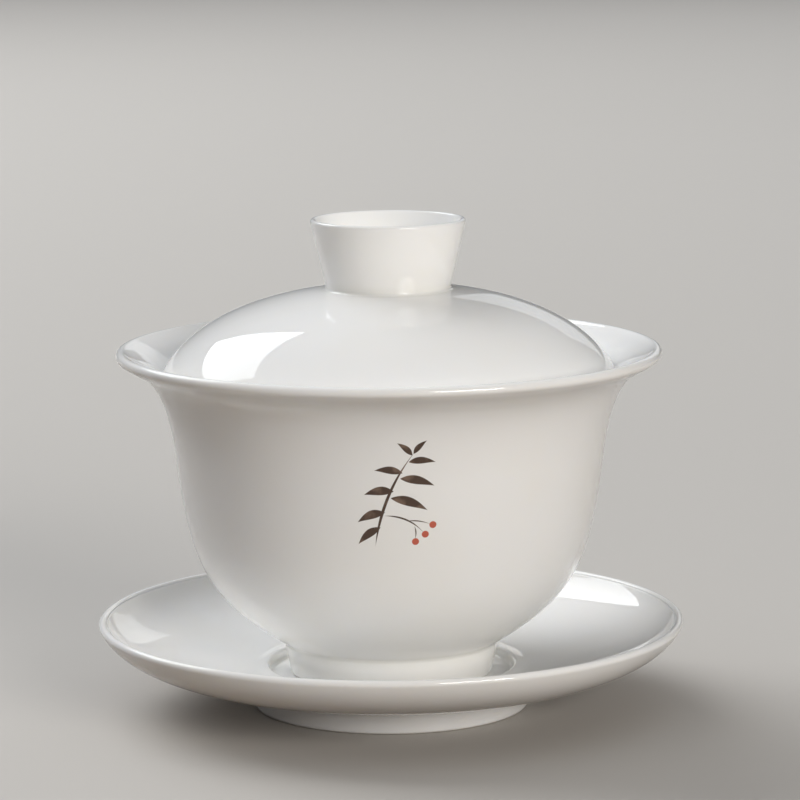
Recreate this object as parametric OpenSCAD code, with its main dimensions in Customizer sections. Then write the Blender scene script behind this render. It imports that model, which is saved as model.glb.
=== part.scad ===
// Gaiwan: a lidded tea bowl on its saucer, in white glazed porcelain.
// Three turned pieces: the saucer stands on the table, the bowl stands in the
// saucer's ringed well, and the lid drops into the bowl's flared mouth until its
// round edge meets the wall. Millimetres, +Z up, origin under the saucer's middle.

/* [Saucer] */
// Diameter over the lip
saucer_d = 108; // [98:1:124]
// Height from the table to the top of the lip
saucer_h = 16.6; // [14:0.2:22]
// Thickness of the dish where it leaves the foot ring
saucer_wall = 3; // [2.2:0.1:4]
// Thickness of the dish at its lip
saucer_lip_wall = 1.5; // [1:0.1:2.4]
// Rise of the underside where it leaves the foot ring, in degrees
saucer_rise = 7; // [3:1:14]
// Rise of the underside where it meets the lip, in degrees
saucer_lip_rise = 62; // [45:1:72]
// Outer diameter of the foot ring
saucer_foot_d = 50.8; // [46:0.2:58]
// Height of the foot ring, from the table to the dish
saucer_foot_h = 4.7; // [4:0.1:7]
// Width of the foot ring where it touches the table
saucer_foot_w = 3.2; // [2:0.1:5]
// Thickness of the base under the well
saucer_base = 3.2; // [2:0.1:4.4]
// Depth of the well that takes the bowl's foot, below the top of its ring
well_depth = 1.7; // [1.2:0.1:2.4]
// Play around the bowl's foot on the floor of the well
well_play = 3.8; // [1:0.1:4.4]
// Width of the well's steep side
well_side = 0.5; // [0.2:0.1:1.2]
// Width of the low ring round the well
ring_w = 2.4; // [1.8:0.1:3.4]
// Rise of the ring from the dish to the edge of the well
ring_rise = 0.2; // [0.1:0.05:0.5]

/* [Bowl] */
// Diameter over the lip
rim_d = 100; // [94:1:112]
// Height from the foot ring's underside to the top of the lip
bowl_h = 60.6; // [54:0.2:70]
// Slope of the flared lip above the horizontal, in degrees
flare_slope = 38; // [30:1:55]
// Diameter of the waist, where the belly turns into the flare
waist_d = 79; // [74:0.5:84]
// Height of the waist above the foot ring's underside
waist_h = 41.8; // [34:0.2:44]
// Lean of the side at the waist, away from upright, in degrees
waist_lean = 7; // [3:1:12]
// Slope of the belly where it leaves the foot ring, in degrees
belly_slope = 32; // [22:1:42]
// Thickness of the wall at the lip
lip_wall = 1.9; // [1.4:0.1:2.6]
// Thickness of the wall at the foot
belly_wall = 2.6; // [2:0.1:3.6]
// Diameter of the foot ring where it stands
bowl_foot_d = 37.2; // [33:0.2:40]
// Diameter of the foot ring where it meets the belly
bowl_foot_top_d = 39.6; // [36:0.2:44]
// Height of the foot ring, from its underside to the belly
bowl_foot_h = 6; // [4.6:0.1:8]
// Width of the foot ring where it stands
bowl_foot_w = 2.8; // [2:0.1:4.5]
// Depth of the hollow inside the foot ring
bowl_recess = 3.4; // [2:0.1:4.4]
// Thickness of the bowl's bottom
bowl_base = 3; // [2.2:0.1:4]

/* [Lid] */
// How far the lid's edge lies inside the bowl's lip
lid_inset = 8.5; // [6.5:0.1:9.4]
// Clearance between the lid's edge and the bowl's wall
lid_gap = 0.2; // [0.1:0.05:0.5]
// Thickness of the dome, which is also the thickness of its edge
lid_wall = 2.2; // [1.6:0.1:3]
// Rise of the dome from the middle of its edge to its top
dome_h = 16; // [12:0.2:22]
// Fall of the dome at its edge, in degrees
dome_fall = 63; // [50:1:75]

/* [Knob] */
// Diameter over the knob's lip
knob_d = 28.4; // [24:0.2:34]
// Diameter of the knob where it stands on the dome
knob_base_d = 22.7; // [19:0.1:25]
// Height of the knob above the top of the dome
knob_h = 12.2; // [9:0.2:16]
// Thickness of the knob at its lip
knob_wall = 1; // [0.8:0.1:2]
// Thickness of the knob at the floor of its cup
knob_root = 2.6; // [2:0.1:4]
// Height of the cup's floor above the top of the dome
knob_floor = 0.8; // [0.2:0.1:2]

/* [Finish] */
// Rounding of the edges of both foot rings
foot_round = 0.6; // [0.3:0.05:0.9]
// Rounding in the corner where a foot ring or the knob meets its body
root_round = 0.6; // [0.3:0.1:1.4]
// Rounding of the well's edge and of the corner round its floor
well_round = 0.5; // [0.3:0.05:0.6]
// Rounding in the corner where the ring meets the dish
ring_round = 0.7; // [0.3:0.1:1]
// Rounding in the corner round the floor of the knob's cup
cup_round = 3; // [1.5:0.1:4]

/* [Hidden] */
$fn = 192;
glaze = [0.95, 0.94, 0.92];
curve_steps = 26;
corner_steps = 4;
cap_steps = 12;
// Reach of each curve's handles, as a share of the distance between its ends
dish_pull = [0.54, 0.22];
belly_pull = [0.43, 0.52];
flare_pull = [0.78, 0.2];
bottom_pull = 0.5;
dome_pull = [0.584, 0.18];

// Direction of a heading in degrees, counted from the outward radius towards +Z
function heading(a) = [cos(a), sin(a)];
function left_of(a) = [-sin(a), cos(a)];
function unit(v) = v / norm(v);
function angle_of(v) = atan2(v.y, v.x);
function turned_over(list) = [for (i = [len(list) - 1:-1:0]) list[i]];

// Smooth curve from p with heading a to q with heading b; each point is [position, heading]
function curve(p, a, q, b, pull) =
    let (reach = norm(q - p),
         h = p + pull[0] * reach * heading(a),
         k = q - pull[1] * reach * heading(b))
    [for (i = [0:curve_steps])
        let (t = i / curve_steps, s = 1 - t)
        [s^3 * p + 3 * s^2 * t * h + 3 * s * t^2 * k + t^3 * q,
         angle_of(s^2 * (h - p) + 2 * s * t * (k - h) + t^2 * (q - k))]];

function places(track) = [for (c = track) c[0]];

// The track moved to its left, by an amount that goes evenly from w0 to w1
function beside(track, w0, w1) =
    [for (i = [0:len(track) - 1])
        track[i][0] + (w0 + (w1 - w0) * i / (len(track) - 1)) * left_of(track[i][1])];

// Half-round end of a wall of thickness w, about centre c, from angle a through half a turn
function round_end(c, w, a, turn = 1) =
    [for (i = [0:cap_steps]) c + w / 2 * heading(a + turn * 180 * i / cap_steps)];

// Rounded corner at b, between a and c, set back by d
function corner(a, b, c, d) =
    let (u = unit(a - b), v = unit(c - b))
    [for (i = [0:corner_steps])
        let (t = i / corner_steps)
        b + d * ((1 - t)^2 * u + t^2 * v)];

// Saucer: the dish's underside runs from the foot ring to the lip, and its top lies beside it,
// closer towards the lip
saucer_foot_r = saucer_foot_d / 2;
saucer_lip_c = [(saucer_d - saucer_lip_wall) / 2, saucer_h - saucer_lip_wall / 2];
saucer_root = [saucer_foot_r, saucer_foot_h];
dish = curve(saucer_root, saucer_rise,
             saucer_lip_c - saucer_lip_wall / 2 * left_of(saucer_lip_rise), saucer_lip_rise, dish_pull);
dish_top = beside(dish, saucer_wall, saucer_lip_wall);
well_floor_r = bowl_foot_d / 2 + well_play;
well_mouth_r = well_floor_r + well_side;
ring_foot = [well_mouth_r + ring_w, lookup(well_mouth_r + ring_w, dish_top)];
well_mouth = [well_mouth_r, ring_foot.y + ring_rise];
well_z = well_mouth.y - well_depth;
saucer_recess_z = well_z - saucer_base;
dish_top_kept = [for (p = dish_top) if (p.x > ring_foot.x + ring_round) p];

// Bowl: belly and flare share the waist, and the inside lies beside them
bowl_lip_c = [(rim_d - lip_wall) / 2, bowl_h - lip_wall / 2];
bowl_root = [bowl_foot_top_d / 2, bowl_foot_h];
waist = [waist_d / 2, waist_h];
waist_wall = (belly_wall + lip_wall) / 2;
belly = curve(bowl_root, belly_slope, waist, 90 - waist_lean, belly_pull);
flare = curve(waist, 90 - waist_lean,
              bowl_lip_c - lip_wall / 2 * left_of(flare_slope), flare_slope, flare_pull);
belly_inside = beside(belly, belly_wall, waist_wall);
flare_inside = beside(flare, waist_wall, lip_wall);
bottom_middle = [0, bowl_recess + bowl_base];
bottom_span = belly_inside[0] - bottom_middle;
bottom_inside = places(curve(bottom_middle, 0, belly_inside[0], belly_slope,
                             [bottom_pull, bottom_span.y / (sin(belly_slope) * norm(bottom_span))]));

// Lid: its edge comes down until it is lid_gap away from the flare
lid_edge_r = rim_d / 2 - lid_inset - lid_wall / 2;
lid_reach = lid_wall / 2 + lid_gap;
lid_z = max([for (p = flare_inside)
    if (abs(p.x - lid_edge_r) < lid_reach) p.y + sqrt(lid_reach^2 - (p.x - lid_edge_r)^2)]);
dome = curve([0, dome_h], 0,
             [lid_edge_r, 0] + lid_wall / 2 * left_of(-dome_fall), -dome_fall, dome_pull);
dome_inside = beside(dome, -lid_wall, -lid_wall);
knob_root_r = knob_base_d / 2;
knob_foot = [knob_root_r, lookup(knob_root_r, places(dome))];
knob_top = dome_h + knob_h;
knob_lip_c = [(knob_d - knob_wall) / 2, knob_top - knob_wall / 2];
knob_lean = angle_of(knob_lip_c - knob_foot + [knob_wall / 2, 0]);
knob_lip_out = knob_lip_c - knob_wall / 2 * left_of(knob_lean);
knob_lip_in = knob_lip_c + knob_wall / 2 * left_of(knob_lean);
dome_kept = [for (p = places(dome)) if (p.x > knob_root_r + root_round) p];
cup_floor = [knob_root_r - knob_root, dome_h + knob_floor];

module turned(profile) {
    color(glaze) rotate_extrude() polygon(profile);
}

module saucer() {
    foot_in = [saucer_foot_r - saucer_foot_w, 0];
    recess_edge = [foot_in.x, saucer_recess_z];
    foot_out = [saucer_foot_r, 0];
    floor_edge = [well_floor_r, well_z];
    turned(concat(
        [[0, saucer_recess_z]],
        corner([0, saucer_recess_z], recess_edge, foot_in, root_round),
        corner(recess_edge, foot_in, foot_out, foot_round),
        corner(foot_in, foot_out, saucer_root, foot_round),
        corner(foot_out, saucer_root, dish[1][0], root_round),
        [for (p = places(dish)) if (p.x > saucer_foot_r + root_round) p],
        round_end(saucer_lip_c, saucer_lip_wall, saucer_lip_rise - 90),
        turned_over(dish_top_kept),
        corner(dish_top_kept[0], ring_foot, well_mouth, ring_round),
        corner(ring_foot, well_mouth, floor_edge, well_round),
        corner(well_mouth, floor_edge, [0, well_z], well_round),
        [[0, well_z]]));
}

module bowl() {
    foot_out = [bowl_foot_d / 2, 0];
    foot_in = [foot_out.x - bowl_foot_w, 0];
    recess_edge = [foot_in.x, bowl_recess];
    translate([0, 0, well_z]) turned(concat(
        [[0, bowl_recess]],
        corner([0, bowl_recess], recess_edge, foot_in, root_round),
        corner(recess_edge, foot_in, foot_out, foot_round),
        corner(foot_in, foot_out, bowl_root, foot_round),
        corner(foot_out, bowl_root, belly[1][0], root_round),
        [for (p = places(belly)) if (norm(p - bowl_root) > root_round) p],
        places(flare),
        round_end(bowl_lip_c, lip_wall, flare_slope - 90),
        turned_over(flare_inside),
        turned_over(belly_inside),
        turned_over(bottom_inside)));
}

module lid() {
    edge_c = [lid_edge_r, 0];
    translate([0, 0, well_z + lid_z]) turned(concat(
        [[0, cup_floor.y]],
        corner([0, cup_floor.y], cup_floor, knob_lip_in, cup_round),
        round_end(knob_lip_c, knob_wall, knob_lean + 90, -1),
        corner(knob_lip_out, knob_foot, dome_kept[0], root_round),
        dome_kept,
        round_end(edge_c, lid_wall, 90 - dome_fall, -1),
        turned_over(dome_inside)));
}

saucer();
bowl();
lid();
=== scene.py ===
"""Looks of a gaiwan: a white porcelain tea bowl with its lid and saucer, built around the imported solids."""

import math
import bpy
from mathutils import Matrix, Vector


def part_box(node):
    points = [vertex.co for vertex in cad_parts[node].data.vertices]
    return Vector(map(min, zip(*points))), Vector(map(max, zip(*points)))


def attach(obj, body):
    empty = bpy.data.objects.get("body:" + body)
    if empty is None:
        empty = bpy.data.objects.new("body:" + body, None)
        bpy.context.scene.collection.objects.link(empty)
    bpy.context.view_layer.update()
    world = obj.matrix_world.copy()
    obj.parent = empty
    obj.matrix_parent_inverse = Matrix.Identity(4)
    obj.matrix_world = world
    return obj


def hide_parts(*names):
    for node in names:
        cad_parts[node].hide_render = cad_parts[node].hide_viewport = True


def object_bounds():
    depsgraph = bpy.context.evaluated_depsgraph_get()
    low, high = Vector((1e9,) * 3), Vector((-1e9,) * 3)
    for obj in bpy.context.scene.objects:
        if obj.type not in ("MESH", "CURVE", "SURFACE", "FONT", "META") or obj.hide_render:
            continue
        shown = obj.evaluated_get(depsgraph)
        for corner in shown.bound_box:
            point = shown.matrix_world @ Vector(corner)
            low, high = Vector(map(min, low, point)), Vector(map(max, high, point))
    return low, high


bl_info = {
    "name": "Gaiwan",
    "version": (1, 0, 0),
    "blender": (4, 5, 0),
    "location": "3D View > Sidebar > Gaiwan",
    "description": "Turns and glazes a porcelain gaiwan and sets it in a small studio",
    "category": "Add Mesh",
}

from functools import reduce

import bmesh
import bpy
from bpy.props import FloatProperty, FloatVectorProperty, PointerProperty
from mathutils import Euler, Matrix, Vector
from mathutils.geometry import interpolate_bezier

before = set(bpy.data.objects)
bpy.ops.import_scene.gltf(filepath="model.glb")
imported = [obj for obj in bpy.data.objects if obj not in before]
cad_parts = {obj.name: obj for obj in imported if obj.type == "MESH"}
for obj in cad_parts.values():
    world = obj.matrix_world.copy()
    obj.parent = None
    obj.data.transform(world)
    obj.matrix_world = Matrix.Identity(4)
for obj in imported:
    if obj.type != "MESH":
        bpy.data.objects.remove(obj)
CAD_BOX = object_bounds()
SAUCER_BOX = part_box("saucer")
BOWL_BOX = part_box("bowl")
LID_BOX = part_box("lid")

MM = 0.001
IMAGE_WIDTH = 800
QUARTER_STEPS = 64
CURVE_STEPS = 56
CAP_STEPS = 16
CORNER_STEPS = 8
LONGEST_EDGE = 1.5 * MM
MERGE_DISTANCE = 0.002 * MM
# Reach of each curve's handles, as a share of the distance between its ends
DISH_PULL = (0.54, 0.22)
BELLY_PULL = (0.43, 0.52)
FLARE_PULL = (0.78, 0.2)
DOME_PULL = (0.584, 0.18)
BOTTOM_PULL = 0.5


def length(label, note, millimetres):
    """A size in metres, with its default given in millimetres."""
    return FloatProperty(
        name=label, description=note, default=millimetres * MM, min=0.0, precision=5, unit="LENGTH"
    )


def slope(label, note, degrees):
    """An angle in radians, with its default given in degrees."""
    return FloatProperty(name=label, description=note, default=math.radians(degrees), unit="ROTATION")


def share(label, note, default):
    """A plain number that isn't a size."""
    return FloatProperty(name=label, description=note, default=default, min=0.0, precision=3)


def tint(label, note, default):
    """A colour, in linear values."""
    return FloatVectorProperty(
        name=label, description=note, default=default, size=3, min=0.0, max=1.0, subtype="COLOR"
    )


class SaucerShape(bpy.types.PropertyGroup):
    """Sizes of the saucer's section"""

    wall: length("Wall", "Thickness of the dish where it leaves the foot ring", 3)
    lip_wall: length("Lip wall", "Thickness of the dish at its lip", 1.5)
    rise: slope("Rise", "Rise of the underside where it leaves the foot ring", 7)
    lip_rise: slope("Lip rise", "Rise of the underside where it meets the lip", 62)
    foot_d: length("Foot", "Outer diameter of the foot ring", 50.8)
    foot_h: length("Foot height", "Height of the foot ring", 4.7)
    foot_w: length("Foot width", "Width of the foot ring where it stands", 3.2)
    base: length("Base", "Thickness of the base under the well", 3.2)
    well_d: length("Well", "Diameter of the floor of the well", 44.8)
    well_depth: length("Well depth", "Depth of the well below the top of its ring", 1.7)
    well_side: length("Well side", "Width of the well's steep side", 0.5)
    ring_w: length("Ring", "Width of the low ring round the well", 2.4)
    ring_rise: length("Ring rise", "Rise of the ring from the dish to the edge of the well", 0.2)


class BowlShape(bpy.types.PropertyGroup):
    """Sizes of the bowl's section"""

    flare_slope: slope("Flare", "Slope of the flared lip above the horizontal", 38)
    waist_d: length("Waist", "Diameter where the belly turns into the flare", 79)
    waist_h: length("Waist height", "Height of the waist above the foot", 41.8)
    waist_lean: slope("Waist lean", "Lean of the side at the waist", 7)
    belly_slope: slope("Belly", "Slope of the belly where it leaves the foot ring", 32)
    lip_wall: length("Lip wall", "Thickness of the wall at the lip", 1.9)
    belly_wall: length("Belly wall", "Thickness of the wall at the foot", 2.6)
    foot_d: length("Foot", "Diameter of the foot ring where it stands", 37.2)
    foot_top_d: length("Foot top", "Diameter of the foot ring where it meets the belly", 39.6)
    foot_h: length("Foot height", "Height of the foot ring", 6)
    foot_w: length("Foot width", "Width of the foot ring where it stands", 2.8)
    recess: length("Recess", "Depth of the hollow inside the foot ring", 3.4)
    base: length("Base", "Thickness of the bowl's bottom", 3)


class LidShape(bpy.types.PropertyGroup):
    """Sizes of the lid's section, with its knob"""

    wall: length("Wall", "Thickness of the dome and of its edge", 2.2)
    dome_h: length("Dome", "Rise of the dome from the middle of its edge", 16)
    dome_fall: slope("Dome fall", "Fall of the dome at its edge", 63)
    knob_d: length("Knob", "Diameter over the knob's lip", 28.4)
    knob_base_d: length("Knob foot", "Diameter of the knob where it stands on the dome", 22.7)
    knob_wall: length("Knob wall", "Thickness of the knob at its lip", 1)
    knob_root: length("Knob root", "Thickness of the knob at the floor of its cup", 2.6)
    knob_floor: length("Cup floor", "Height of the cup's floor above the top of the dome", 0.8)


class Roundings(bpy.types.PropertyGroup):
    """Roundings of the corners of all three sections"""

    foot: length("Foot edges", "Rounding of the edges of both foot rings", 0.6)
    root: length("Roots", "Rounding where a foot ring or the knob meets its body", 0.6)
    well: length("Well", "Rounding of the well's edge and of the corner round its floor", 0.5)
    ring: length("Ring", "Rounding where the ring round the well meets the dish", 0.7)
    cup: length("Cup", "Rounding of the corner round the floor of the knob's cup", 3)


class Glaze(bpy.types.PropertyGroup):
    """Colours and gloss of the glazed porcelain"""

    white: tint("White", "Glaze over the porcelain body", (0.9, 0.898, 0.886))
    cream: tint("Cream", "Warmer clouds in the glaze", (0.896, 0.888, 0.864))
    pooled: tint("Pooled", "Glaze where it gathers in a corner", (0.83, 0.824, 0.785))
    speck: tint("Speck", "Tiny iron specks under the glaze", (0.3, 0.25, 0.2))
    bare: tint("Bare", "Unglazed porcelain under the foot rings", (0.76, 0.72, 0.65))
    gloss: share("Gloss", "Roughness of the glaze", 0.02)
    refraction: share("Refraction", "Refractive index of the glaze", 1.55)
    bare_roughness: share("Bare roughness", "Roughness of the unglazed porcelain", 0.62)
    ripple: length("Ripple", "Height of the slow waves in the glaze", 0.05)
    translucence: share("Translucence", "Share of light that scatters inside the porcelain", 0.18)
    scatter: length("Scatter", "Distance that light travels inside the porcelain", 1.6)


class Sprig(bpy.types.PropertyGroup):
    """The small leafy sprig painted on the front of the bowl"""

    ink: tint("Ink", "Full brush of brown ink", (0.075, 0.042, 0.026))
    thin_ink: tint("Thin ink", "Brown ink where the brush runs dry", (0.2, 0.13, 0.09))
    berry: tint("Berry", "Red of the berries", (0.55, 0.12, 0.07))
    right: length("Right", "Middle of the sprig, to the right of the bowl's front", 1.6)
    height: length("Height", "Middle of the sprig above the bowl's foot", 39.6)
    reach: length("Reach", "Height of the sprig above and below its middle", 12)
    blur: length("Blur", "Softness of the painted edges", 0.07)
    berry_d: length("Berry size", "Diameter of a berry", 1.25)


class Studio(bpy.types.PropertyGroup):
    """Floor, lamps and camera"""

    floor: tint("Floor", "Plain pale floor", (0.55, 0.526, 0.492))
    bounce: tint("Bounce", "Colour of the light that the floor throws back up", (0.205, 0.158, 0.12))
    horizon: tint("Horizon", "Even light from low down all round", (0.05, 0.052, 0.055))
    zenith: tint("Zenith", "Even light from overhead", (0.46, 0.47, 0.49))
    window_power: share("Window", "Power of the soft window behind on the left, in watts", 19.0)
    fill_power: share("Fill", "Power of the soft lamp in front on the right, in watts", 44.0)
    haze_power: share("Haze", "Power of the soft light round the window, in watts", 33.0)
    glint_power: share("Glint", "Power of the small low pane behind on the right, in watts", 0.75)
    eye_distance: length("Distance", "From the camera to the aim", 700)
    eye_rise: slope("Elevation", "Height of the camera's view above the horizontal", 10.04)
    eye_roll: slope("Roll", "Tilt of the camera", 0.45)
    focal_pixels: share("Focal length", "Focal length in pixels of the square image", 3800)
    aim_height: length("Aim", "Height on the axis that the camera's distance is measured from", 45)


class GaiwanSettings(bpy.types.PropertyGroup):
    """Everything that the gaiwan's operators read"""

    saucer: PointerProperty(type=SaucerShape)
    bowl: PointerProperty(type=BowlShape)
    lid: PointerProperty(type=LidShape)
    rounding: PointerProperty(type=Roundings)
    glaze: PointerProperty(type=Glaze)
    sprig: PointerProperty(type=Sprig)
    studio: PointerProperty(type=Studio)


# Sections: a point is (radius, height), and a heading is counted from the outward radius towards +Z


def heading(angle):
    return Vector((math.cos(angle), math.sin(angle)))


def left_of(angle):
    return Vector((-math.sin(angle), math.cos(angle)))


def curve(start, start_angle, end, end_angle, pull):
    """Smooth curve between two points that leaves and arrives with the given headings."""
    reach = (end - start).length
    first = start + pull[0] * reach * heading(start_angle)
    second = end - pull[1] * reach * heading(end_angle)
    return interpolate_bezier(start, first, second, end, CURVE_STEPS)


def beside(track, near, far):
    """The track moved to its left, by an amount that goes evenly from near to far."""
    last = len(track) - 1
    moved = []
    for i, point in enumerate(track):
        along = track[min(i + 1, last)] - track[max(i - 1, 0)]
        side = Vector((-along.y, along.x)).normalized()
        moved.append(point + side * (near + (far - near) * i / last))
    return moved


def half_round(centre, wall, angle, turn):
    """Half-round end of a wall, about its centre, starting at an angle and turning one way or the other."""
    return [centre + wall / 2 * heading(angle + turn * math.pi * i / CAP_STEPS) for i in range(CAP_STEPS + 1)]


def height_at(track, radius):
    """Height of a track at a radius."""
    for a, b in zip(track, track[1:]):
        if min(a.x, b.x) <= radius <= max(a.x, b.x):
            return a.y + (b.y - a.y) * (radius - a.x) / (b.x - a.x)
    raise ValueError(f"the curve doesn't reach a radius of {radius}")


class Section:
    """Half section of a turned piece, from the axis all the way round and back to the axis."""

    def __init__(self):
        self.points = []
        self.roundings = []

    def corner(self, radius, height, rounding=0.0):
        self.points.append(Vector((radius, height)))
        self.roundings.append(rounding)

    def follow(self, track):
        for point in track:
            self.corner(*point)

    def turned(self, name):
        """Rounds the corners, spins the section a quarter turn and mirrors that into a closed piece."""
        bm = bmesh.new()
        verts = [bm.verts.new((p.x, 0.0, p.y)) for p in self.points]
        for a, b in zip(verts, verts[1:]):
            bm.edges.new((a, b))
        for size in sorted(set(self.roundings) - {0.0}):
            corners = [v for v, rounding in zip(verts, self.roundings) if rounding == size]
            bmesh.ops.bevel(
                bm,
                geom=corners,
                offset=size,
                offset_type="OFFSET",
                segments=CORNER_STEPS,
                profile=0.5,
                affect="VERTICES",
                material=-1,
            )
        for edge in [e for e in bm.edges if e.calc_length() > LONGEST_EDGE]:
            cuts = math.ceil(edge.calc_length() / LONGEST_EDGE) - 1
            bmesh.ops.subdivide_edges(bm, edges=[edge], cuts=cuts)
        bmesh.ops.spin(
            bm,
            geom=bm.verts[:] + bm.edges[:],
            cent=(0.0, 0.0, 0.0),
            axis=(0.0, 0.0, 1.0),
            angle=math.pi / 2,
            steps=QUARTER_STEPS,
        )
        for axis in "XY":
            geometry = bm.verts[:] + bm.edges[:] + bm.faces[:]
            bmesh.ops.mirror(bm, geom=geometry, merge_dist=MERGE_DISTANCE, axis=axis)
        bmesh.ops.remove_doubles(bm, verts=bm.verts[:], dist=MERGE_DISTANCE)
        bmesh.ops.recalc_face_normals(bm, faces=bm.faces[:])
        for face in bm.faces:
            face.smooth = True
        mesh = bpy.data.meshes.new(name)
        bm.to_mesh(mesh)
        bm.free()
        piece = bpy.data.objects.new(name, mesh)
        bpy.context.scene.collection.objects.link(piece)
        return piece


class Wire:
    """A socket in a material's nodes. Arithmetic on wires and numbers adds Math nodes."""

    def __init__(self, tree, socket=None):
        self.tree = tree
        self.socket = socket

    def node(self, kind, settings, sockets):
        """Adds a node: its settings are set first, then the values or links of its sockets."""
        made = self.tree.nodes.new(kind)
        for name, value in settings.items():
            setattr(made, name, value)
        for key, value in sockets.items():
            if isinstance(value, Wire):
                self.tree.links.new(value.socket, made.inputs[key])
            else:
                made.inputs[key].default_value = value
        return made

    def out(self, made, key=0):
        return Wire(self.tree, made.outputs[key])

    def maths(self, operation, *values, clamp=False):
        settings = {"operation": operation, "use_clamp": clamp}
        return self.out(self.node("ShaderNodeMath", settings, dict(enumerate(values))))

    def __add__(self, other):
        return self.maths("ADD", self, other)

    __radd__ = __add__

    def __sub__(self, other):
        return self.maths("SUBTRACT", self, other)

    def __rsub__(self, other):
        return self.maths("SUBTRACT", other, self)

    def __mul__(self, other):
        return self.maths("MULTIPLY", self, other)

    __rmul__ = __mul__

    def __truediv__(self, other):
        return self.maths("DIVIDE", self, other)

    def __pow__(self, other):
        return self.maths("POWER", self, other)

    def __abs__(self):
        return self.maths("ABSOLUTE", self)

    def over(self, other):
        """The larger of two values."""
        return self.maths("MAXIMUM", self, other)

    def held(self):
        """The value kept between 0 and 1."""
        return self.maths("ADD", self, 0.0, clamp=True)

    def fade(self, low, high):
        """0 below low and 1 above high, with a smooth step between."""
        settings = {"interpolation_type": "SMOOTHSTEP"}
        return self.out(self.node("ShaderNodeMapRange", settings, {"Value": self, 1: low, 2: high}))

    def blend(self, first, second):
        """Mixes two colours, with this value as the share of the second."""
        colours = [c if isinstance(c, Wire) else (*c, 1.0) for c in (first, second)]
        settings = {"data_type": "RGBA", "clamp_factor": True}
        return self.out(self.node("ShaderNodeMix", settings, {0: self, 6: colours[0], 7: colours[1]}), 2)

    def noise(self, place, scale, detail=2.0):
        sockets = {"Vector": place, "Scale": scale, "Detail": detail}
        return self.out(self.node("ShaderNodeTexNoise", {}, sockets))


class Porcelain:
    """White porcelain under a clear gloss glaze, with glaze pooled in the corners and the foot wiped bare."""

    clouds_per_metre = 45
    cloud_edge = (0.4, 0.65)
    waves_per_metre = 75
    specks_per_metre = 95
    speck_size = (0.012, 0.03)
    speck_depth = 0.7
    rare = (0.9, 0.92)
    grains_per_metre = 900
    pool_reach = 2.2 * MM
    pool_depth = 0.8
    wiped = (0.15 * MM, 0.45 * MM)
    wall_blur = 0.2 * MM
    # Warm light travels furthest inside the body
    scatter_share = (1.0, 0.9, 0.75)

    def __init__(self, name, glaze):
        self.glaze = glaze
        self.material = bpy.data.materials.new(name)
        self.material.use_nodes = True
        self.tree = self.material.node_tree
        self.shader = self.tree.nodes["Principled BSDF"]
        wire = Wire(self.tree)
        self.wire = wire
        self.place = wire.out(wire.node("ShaderNodeTexCoord", {}, {}), "Object")
        split = wire.node("ShaderNodeSeparateXYZ", {}, {0: self.place})
        self.x, self.y, self.z = (wire.out(split, axis) for axis in "XYZ")
        self.radius = (self.x * self.x + self.y * self.y) ** 0.5
        clouds = wire.noise(self.place, self.clouds_per_metre).fade(*self.cloud_edge)
        self.colour = clouds.blend(glaze.white, glaze.cream)
        self.roughness = wire.noise(self.place, self.clouds_per_metre) * glaze.gloss + glaze.gloss / 2
        self.add_specks()

    def add_specks(self):
        sockets = {"Vector": self.place, "Scale": self.specks_per_metre}
        cells = self.wire.node("ShaderNodeTexVoronoi", {}, sockets)
        dots = 1 - self.wire.out(cells, "Distance").fade(*self.speck_size)
        picked = self.wire.node("ShaderNodeSeparateColor", {}, {0: self.wire.out(cells, "Color")})
        chosen = self.wire.out(picked, "Red").fade(*self.rare)
        self.colour = (dots * chosen * self.speck_depth).blend(self.colour, self.glaze.speck)

    def pool(self, radius, height):
        """Tints the glaze that gathers round a corner of the section."""
        across = self.radius - radius
        up = self.z - height
        mask = 1 - ((across * across + up * up) ** 0.5).fade(0.0, self.pool_reach)
        self.colour = (mask * self.pool_depth).blend(self.colour, self.glaze.pooled)

    def wipe_foot(self, height):
        """Leaves the porcelain bare where a foot ring stands at this height."""
        bare = 1 - (self.z - height).fade(*self.wiped)
        grain = self.wire.noise(self.place, self.grains_per_metre, detail=3.0)
        clay = grain.blend(self.glaze.bare, self.glaze.pooled)
        self.colour = bare.blend(self.colour, clay)
        self.roughness = self.roughness + bare * (self.glaze.bare_roughness - self.glaze.gloss)

    def outside(self, low, high):
        """1 on the outer side of a line between two points of the section, and 0 on its inner side."""
        line = (self.z - low.y) * ((high.x - low.x) / (high.y - low.y)) + low.x
        return (self.radius - line).fade(-self.wall_blur, self.wall_blur)

    def paint(self, mask, colour):
        """Paints a colour where the mask is 1."""
        self.colour = mask.blend(self.colour, colour)

    def finish(self):
        """Joins the colour, the roughness and the slow waves of the glaze to the shader."""
        waves = self.wire.noise(self.place, self.waves_per_metre, detail=1.0)
        bump = self.wire.node("ShaderNodeBump", {}, {"Height": waves, "Distance": self.glaze.ripple})
        links = self.tree.links
        links.new(self.colour.socket, self.shader.inputs["Base Color"])
        links.new(self.roughness.socket, self.shader.inputs["Roughness"])
        links.new(bump.outputs["Normal"], self.shader.inputs["Normal"])
        self.shader.inputs["IOR"].default_value = self.glaze.refraction
        self.shader.inputs["Subsurface Weight"].default_value = self.glaze.translucence
        self.shader.inputs["Subsurface Scale"].default_value = self.glaze.scatter
        self.shader.inputs["Subsurface Radius"].default_value = self.scatter_share
        return self.material


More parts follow.
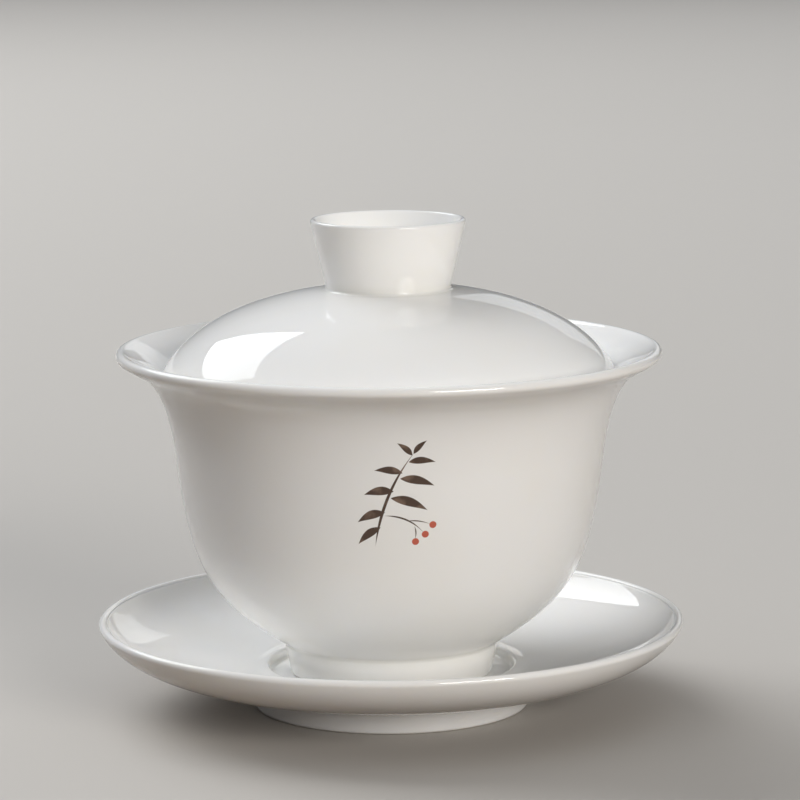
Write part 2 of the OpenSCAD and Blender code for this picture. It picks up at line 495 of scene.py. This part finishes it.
class Brush:
    """Brush strokes and dots on a flat chart of the bowl's front, in metres from the sprig's middle."""

    # A stroke's fullness near its start, and how much of that is gone at its end, as shares of its width
    fullness = 1.4
    taper = 0.8
    dry_spots_per_metre = 420
    dry_edge = (0.45, 0.75)

    def __init__(self, porcelain, sprig, radius, height):
        around = porcelain.wire.maths("ARCTAN2", porcelain.x, 0 - porcelain.y)
        self.across = around * radius - sprig.right
        self.up = porcelain.z - height
        self.blur = sprig.blur
        spots = porcelain.wire.noise(porcelain.place, self.dry_spots_per_metre)
        self.ink = spots.fade(*self.dry_edge).blend(sprig.ink, sprig.thin_ink)

    def stroke(self, start, end, bend, width):
        """A stroke that swells and then tapers between two points given in millimetres, arched by bend."""
        start, end = Vector(start) * MM, Vector(end) * MM
        along = end - start
        east, north = along.normalized()
        done = ((self.across - start.x) * east + (self.up - start.y) * north) / along.length
        aside = (self.up - start.y) * east - (self.across - start.x) * north
        arch = done * (1 - done) * 4
        swell = arch * (self.fullness - done.held() * self.taper) * (width / 2 * MM)
        room = swell - abs(aside - arch * (bend * MM))
        return (room / self.blur + 0.5).held()

    def dot(self, place, size):
        """A round dot of the given diameter, with its middle given in millimetres."""
        middle = Vector(place) * MM
        away = ((self.across - middle.x) ** 2 + (self.up - middle.y) ** 2) ** 0.5
        return ((size / 2 - away) / self.blur + 0.5).held()


def painted_sprig(porcelain, sprig, wall, height):
    """A stem with slender leaves in brown ink, and a twig of red berries, on the outer side of a wall."""
    low, middle, high = (next(p for p in wall if p.y > height + sprig.reach * way) for way in (-1, 0, 1))
    front = porcelain.outside(low, high)
    brush = Brush(porcelain, sprig, middle.x, height)
    stem_and_twigs = [
        ((-4.2, -8.6), (2.4, 8.2), 1.1, 0.5),
        ((-2.6, -3.2), (4.2, -6.4), 0.9, 0.3),
        ((2.6, -5.2), (2.7, -7.6), 0.2, 0.2),
        ((1.2, -4.2), (5.4, -4.9), 0.3, 0.2),
    ]
    leaves = [
        ((-3.3, -5.3), (-7.2, -8.4), -0.35, 1.35),
        ((-2.5, -2.6), (-7.2, -4.4), -0.45, 1.5),
        ((-1.5, 0.0), (4.8, -2.3), 0.45, 1.6),
        ((-1.0, 1.2), (-6.0, 0.6), -0.4, 1.5),
        ((0.1, 3.5), (5.9, 2.1), 0.4, 1.5),
        ((0.5, 4.5), (-4.2, 5.0), -0.35, 1.3),
        ((1.5, 6.5), (6.0, 6.4), 0.35, 1.2),
        ((2.1, 7.7), (-0.4, 10.0), -0.2, 1.0),
        ((2.3, 8.0), (4.4, 10.4), 0.2, 0.9),
    ]
    berries = [(4.5, -6.7), (2.8, -8.0), (5.8, -5.0)]
    inked = reduce(Wire.over, [brush.stroke(*stroke) for stroke in stem_and_twigs + leaves])
    porcelain.paint(inked * front, brush.ink)
    dotted = reduce(Wire.over, [brush.dot(berry, sprig.berry_d) for berry in berries])
    porcelain.paint(dotted * front, sprig.berry)


def dress(piece, material, body):
    """Gives a turned piece its finish and its place in the frame."""
    piece.data.materials.append(material)
    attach(piece, body)
    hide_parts(body)


class GAIWAN_OT_saucer(bpy.types.Operator):
    """Turns the saucer: a shallow dish with a thin lip, a ringed well for the bowl's foot and a foot ring"""

    bl_idname = "gaiwan.saucer"
    bl_label = "Turn the saucer"

    def execute(self, context):
        settings = context.scene.gaiwan
        shape, rounding = settings.saucer, settings.rounding
        radius, top = SAUCER_BOX[1].x, SAUCER_BOX[1].z
        well_z = BOWL_BOX[0].z
        recess_z = well_z - shape.base
        foot_r = shape.foot_d / 2
        lip = Vector((radius - shape.lip_wall / 2, top - shape.lip_wall / 2))
        root = Vector((foot_r, shape.foot_h))
        under_lip = lip - shape.lip_wall / 2 * left_of(shape.lip_rise)
        dish = curve(root, shape.rise, under_lip, shape.lip_rise, DISH_PULL)
        dish_top = beside(dish, shape.wall, shape.lip_wall)
        mouth = Vector((shape.well_d / 2 + shape.well_side, well_z + shape.well_depth))
        ring = mouth + Vector((shape.ring_w, -shape.ring_rise))
        section = Section()
        section.corner(0.0, recess_z)
        section.corner(foot_r - shape.foot_w, recess_z, rounding.root)
        section.corner(foot_r - shape.foot_w, 0.0, rounding.foot)
        section.corner(foot_r, 0.0, rounding.foot)
        section.corner(*root, rounding.root)
        section.follow([p for p in dish if p.x > foot_r + rounding.root])
        section.follow(half_round(lip, shape.lip_wall, shape.lip_rise - math.pi / 2, 1))
        section.follow([p for p in reversed(dish_top) if p.x > ring.x + rounding.ring])
        section.corner(*ring, rounding.ring)
        section.corner(*mouth, rounding.well)
        section.corner(shape.well_d / 2, well_z, rounding.well)
        section.corner(0.0, well_z)
        porcelain = Porcelain("saucer_glaze", settings.glaze)
        porcelain.pool(*root)
        porcelain.pool(shape.well_d / 2, well_z)
        porcelain.wipe_foot(0.0)
        dress(section.turned("saucer_turned"), porcelain.finish(), "saucer")
        return {"FINISHED"}


class GAIWAN_OT_bowl(bpy.types.Operator):
    """Turns the bowl: a round belly, a flared lip and a foot ring, with a small painted sprig in front"""

    bl_idname = "gaiwan.bowl"
    bl_label = "Turn the bowl"

    def execute(self, context):
        settings = context.scene.gaiwan
        shape, rounding = settings.bowl, settings.rounding
        radius, top, stand = BOWL_BOX[1].x, BOWL_BOX[1].z, BOWL_BOX[0].z
        foot_out = shape.foot_d / 2
        foot_in = foot_out - shape.foot_w
        root = Vector((shape.foot_top_d / 2, stand + shape.foot_h))
        waist = Vector((shape.waist_d / 2, stand + shape.waist_h))
        upright = math.pi / 2 - shape.waist_lean
        lip = Vector((radius - shape.lip_wall / 2, top - shape.lip_wall / 2))
        under_lip = lip - shape.lip_wall / 2 * left_of(shape.flare_slope)
        waist_wall = (shape.belly_wall + shape.lip_wall) / 2
        belly = curve(root, shape.belly_slope, waist, upright, BELLY_PULL)
        flare = curve(waist, upright, under_lip, shape.flare_slope, FLARE_PULL)
        inside = beside(belly, shape.belly_wall, waist_wall)[:-1] + beside(flare, waist_wall, shape.lip_wall)
        middle = Vector((0.0, stand + shape.recess + shape.base))
        span = inside[0] - middle
        bottom_pull = (BOTTOM_PULL, span.y / (math.sin(shape.belly_slope) * span.length))
        bottom = curve(middle, 0.0, inside[0], shape.belly_slope, bottom_pull)
        section = Section()
        section.corner(0.0, stand + shape.recess)
        section.corner(foot_in, stand + shape.recess, rounding.root)
        section.corner(foot_in, stand, rounding.foot)
        section.corner(foot_out, stand, rounding.foot)
        section.corner(*root, rounding.root)
        section.follow([p for p in belly[:-1] if (p - root).length > rounding.root])
        section.follow(flare[:-1])
        section.follow(half_round(lip, shape.lip_wall, shape.flare_slope - math.pi / 2, 1))
        section.follow(reversed(inside[1:-1]))
        section.follow(reversed(bottom))
        porcelain = Porcelain("bowl_glaze", settings.glaze)
        porcelain.pool(*root)
        porcelain.wipe_foot(stand)
        wall = [(a + b) / 2 for a, b in zip(belly[:-1] + flare, inside)]
        painted_sprig(porcelain, settings.sprig, wall, stand + settings.sprig.height)
        dress(section.turned("bowl_turned"), porcelain.finish(), "bowl")
        return {"FINISHED"}


class GAIWAN_OT_lid(bpy.types.Operator):
    """Turns the lid: an elliptic dome with a rounded edge and a hollow, conical knob"""

    bl_idname = "gaiwan.lid"
    bl_label = "Turn the lid"

    def execute(self, context):
        settings = context.scene.gaiwan
        shape, rounding = settings.lid, settings.rounding
        radius, top = LID_BOX[1].x, LID_BOX[1].z
        edge = Vector((radius - shape.wall / 2, LID_BOX[0].z + shape.wall / 2))
        dome_top = edge.y + shape.dome_h
        dome_end = edge + shape.wall / 2 * left_of(-shape.dome_fall)
        dome = curve(Vector((0.0, dome_top)), 0.0, dome_end, -shape.dome_fall, DOME_PULL)
        dome_inside = beside(dome, -shape.wall, -shape.wall)
        knob_r = shape.knob_base_d / 2
        knob_foot = Vector((knob_r, height_at(dome, knob_r)))
        knob_lip = Vector(((shape.knob_d - shape.knob_wall) / 2, top - shape.knob_wall / 2))
        side = knob_lip - knob_foot + Vector((shape.knob_wall / 2, 0.0))
        lean = math.atan2(side.y, side.x)
        cup_floor = Vector((knob_r - shape.knob_root, dome_top + shape.knob_floor))
        section = Section()
        section.corner(0.0, cup_floor.y)
        section.corner(*cup_floor, rounding.cup)
        section.follow(half_round(knob_lip, shape.knob_wall, lean + math.pi / 2, -1))
        section.corner(*knob_foot, rounding.root)
        section.follow([p for p in dome if p.x > knob_r + rounding.root])
        section.follow(half_round(edge, shape.wall, math.pi / 2 - shape.dome_fall, -1)[1:])
        section.follow(reversed([Vector((0.0, dome_top - shape.wall)), *dome_inside[1:-1]]))
        porcelain = Porcelain("lid_glaze", settings.glaze)
        porcelain.pool(*knob_foot)
        porcelain.pool(*cup_floor)
        dress(section.turned("lid_turned"), porcelain.finish(), "lid")
        return {"FINISHED"}


def bearing(azimuth, elevation):
    """Direction from the object, with azimuth counted in degrees from +Y towards +X."""
    a, e = math.radians(azimuth), math.radians(elevation)
    return Vector((math.sin(a) * math.cos(e), math.cos(a) * math.cos(e), math.sin(e)))


def soft_lamp(name, azimuth, elevation, distance, size, power, colour, mirrored=True):
    """A rectangular lamp that faces the lid from the given bearing, seen or unseen in the glaze."""
    lamp = bpy.data.lights.new(name, "AREA")
    lamp.shape = "RECTANGLE"
    lamp.size, lamp.size_y = size
    lamp.energy = power
    lamp.color = colour
    holder = bpy.data.objects.new(name, lamp)
    away = bearing(azimuth, elevation)
    holder.location = Vector((0.0, 0.0, LID_BOX[0].z)) + away * distance
    holder.rotation_euler = away.to_track_quat("Z", "Y").to_euler()
    holder.visible_glossy = mirrored
    bpy.context.scene.collection.objects.link(holder)


class GAIWAN_OT_studio(bpy.types.Operator):
    """Lays the floor, hangs the lamps and sets up the camera"""

    bl_idname = "gaiwan.studio"
    bl_label = "Set the studio"

    floor_radius = 8.0
    floor_sides = 96
    floor_roughness = 0.7
    # The sky brightens along this axis, between these shares of the way
    sky_axis = (-0.4, 0.2, 0.89)
    sky_rise = (0.1, 1.0)
    # A lamp's place is its azimuth and elevation in degrees and its distance in metres
    window_place = (-48, 39, 2.5)
    window_size = (1.75, 1.05)
    window_colour = (0.95, 0.98, 1.0)
    fill_place = (147, 16.5, 2.5)
    fill_size = (1.3, 0.8)
    fill_colour = (1.0, 0.97, 0.93)
    haze_place = (-40, 40, 2.5)
    haze_size = (2.2, 1.6)
    haze_colour = (0.97, 0.98, 1.0)
    glint_place = (14, 13, 2.5)
    glint_size = (0.78, 0.6)
    # Pixel of the image that the camera's aim falls on
    image_middle = (389.8, 463.5)

    def execute(self, context):
        studio = context.scene.gaiwan.studio
        self.lay_floor(studio)
        self.light(context.scene, studio)
        self.aim_camera(context.scene, studio)
        context.scene.view_settings.view_transform = "Standard"
        return {"FINISHED"}

    def lay_floor(self, studio):
        bm = bmesh.new()
        bmesh.ops.create_circle(bm, cap_ends=True, segments=self.floor_sides, radius=self.floor_radius)
        mesh = bpy.data.meshes.new("floor")
        bm.to_mesh(mesh)
        bm.free()
        floor = bpy.data.objects.new("floor", mesh)
        floor.location.z = CAD_BOX[0].z
        bpy.context.scene.collection.objects.link(floor)
        paint = bpy.data.materials.new("floor_paint")
        paint.use_nodes = True
        shader = paint.node_tree.nodes["Principled BSDF"]
        shader.inputs["Roughness"].default_value = self.floor_roughness
        wire = Wire(paint.node_tree)
        path = wire.node("ShaderNodeLightPath", {}, {})
        rays = [wire.out(path, f"Is {ray} Ray") for ray in ("Camera", "Glossy", "Transmission")]
        colour = reduce(Wire.over, rays).blend(studio.bounce, studio.floor)
        paint.node_tree.links.new(colour.socket, shader.inputs["Base Color"])
        mesh.materials.append(paint)

    def light(self, scene, studio):
        world = bpy.data.worlds.new("sky")
        world.use_nodes = True
        wire = Wire(world.node_tree)
        towards = wire.out(wire.node("ShaderNodeTexCoord", {}, {}), "Generated")
        dot = {"operation": "DOT_PRODUCT"}
        rise = wire.out(wire.node("ShaderNodeVectorMath", dot, {0: towards, 1: self.sky_axis}), "Value")
        colour = rise.fade(*self.sky_rise).blend(studio.horizon, studio.zenith)
        world.node_tree.links.new(colour.socket, world.node_tree.nodes["Background"].inputs["Color"])
        scene.world = world
        soft_lamp("window", *self.window_place, self.window_size, studio.window_power, self.window_colour)
        soft_lamp("fill", *self.fill_place, self.fill_size, studio.fill_power, self.fill_colour)
        soft_lamp(
            "haze", *self.haze_place, self.haze_size, studio.haze_power, self.haze_colour, mirrored=False
        )
        soft_lamp("glint", *self.glint_place, self.glint_size, studio.glint_power, self.window_colour)

    def aim_camera(self, scene, studio):
        lens = bpy.data.cameras.new("camera")
        lens.lens = lens.sensor_width * studio.focal_pixels / IMAGE_WIDTH
        camera = bpy.data.objects.new("camera", lens)
        rise = studio.eye_rise
        camera.location = (
            0.0,
            -studio.eye_distance * math.cos(rise),
            studio.aim_height + studio.eye_distance * math.sin(rise),
        )
        across, down = (IMAGE_WIDTH / 2 - middle for middle in self.image_middle)
        turn = math.atan(across / studio.focal_pixels)
        nod = math.atan(down / studio.focal_pixels)
        tilt = Euler((math.pi / 2 - rise, 0.0, 0.0)).to_matrix()
        correction = Euler((-nod, -turn, 0.0)).to_matrix()
        roll = Matrix.Rotation(-studio.eye_roll, 3, "Z")
        camera.rotation_euler = (tilt @ roll @ correction).to_euler()
        scene.collection.objects.link(camera)
        scene.camera = camera


class GAIWAN_PT_sidebar(bpy.types.Panel):
    """Lists the gaiwan's pieces and its studio"""

    bl_idname = "GAIWAN_PT_sidebar"
    bl_label = "Gaiwan"
    bl_space_type = "VIEW_3D"
    bl_region_type = "UI"
    bl_category = "Gaiwan"

    def draw(self, context):
        for operator in OPERATORS:
            self.layout.operator(operator.bl_idname)
        settings = context.scene.gaiwan
        for group in settings.bl_rna.properties:
            if group.type != "POINTER" or group.identifier == "rna_type":
                continue
            box = self.layout.box()
            box.label(text=group.identifier.capitalize())
            values = getattr(settings, group.identifier)
            for name in values.__annotations__:
                box.prop(values, name)


OPERATORS = (GAIWAN_OT_saucer, GAIWAN_OT_bowl, GAIWAN_OT_lid, GAIWAN_OT_studio)
GROUPS = (SaucerShape, BowlShape, LidShape, Roundings, Glaze, Sprig, Studio, GaiwanSettings)
CLASSES = (*GROUPS, *OPERATORS, GAIWAN_PT_sidebar)


def register():
    for cls in CLASSES:
        bpy.utils.register_class(cls)
    bpy.types.Scene.gaiwan = PointerProperty(type=GaiwanSettings)


def unregister():
    del bpy.types.Scene.gaiwan
    for cls in reversed(CLASSES):
        bpy.utils.unregister_class(cls)


def main():
    register()
    bpy.ops.gaiwan.saucer()
    bpy.ops.gaiwan.bowl()
    bpy.ops.gaiwan.lid()
    bpy.ops.gaiwan.studio()


if __name__ == "__main__":
    main()
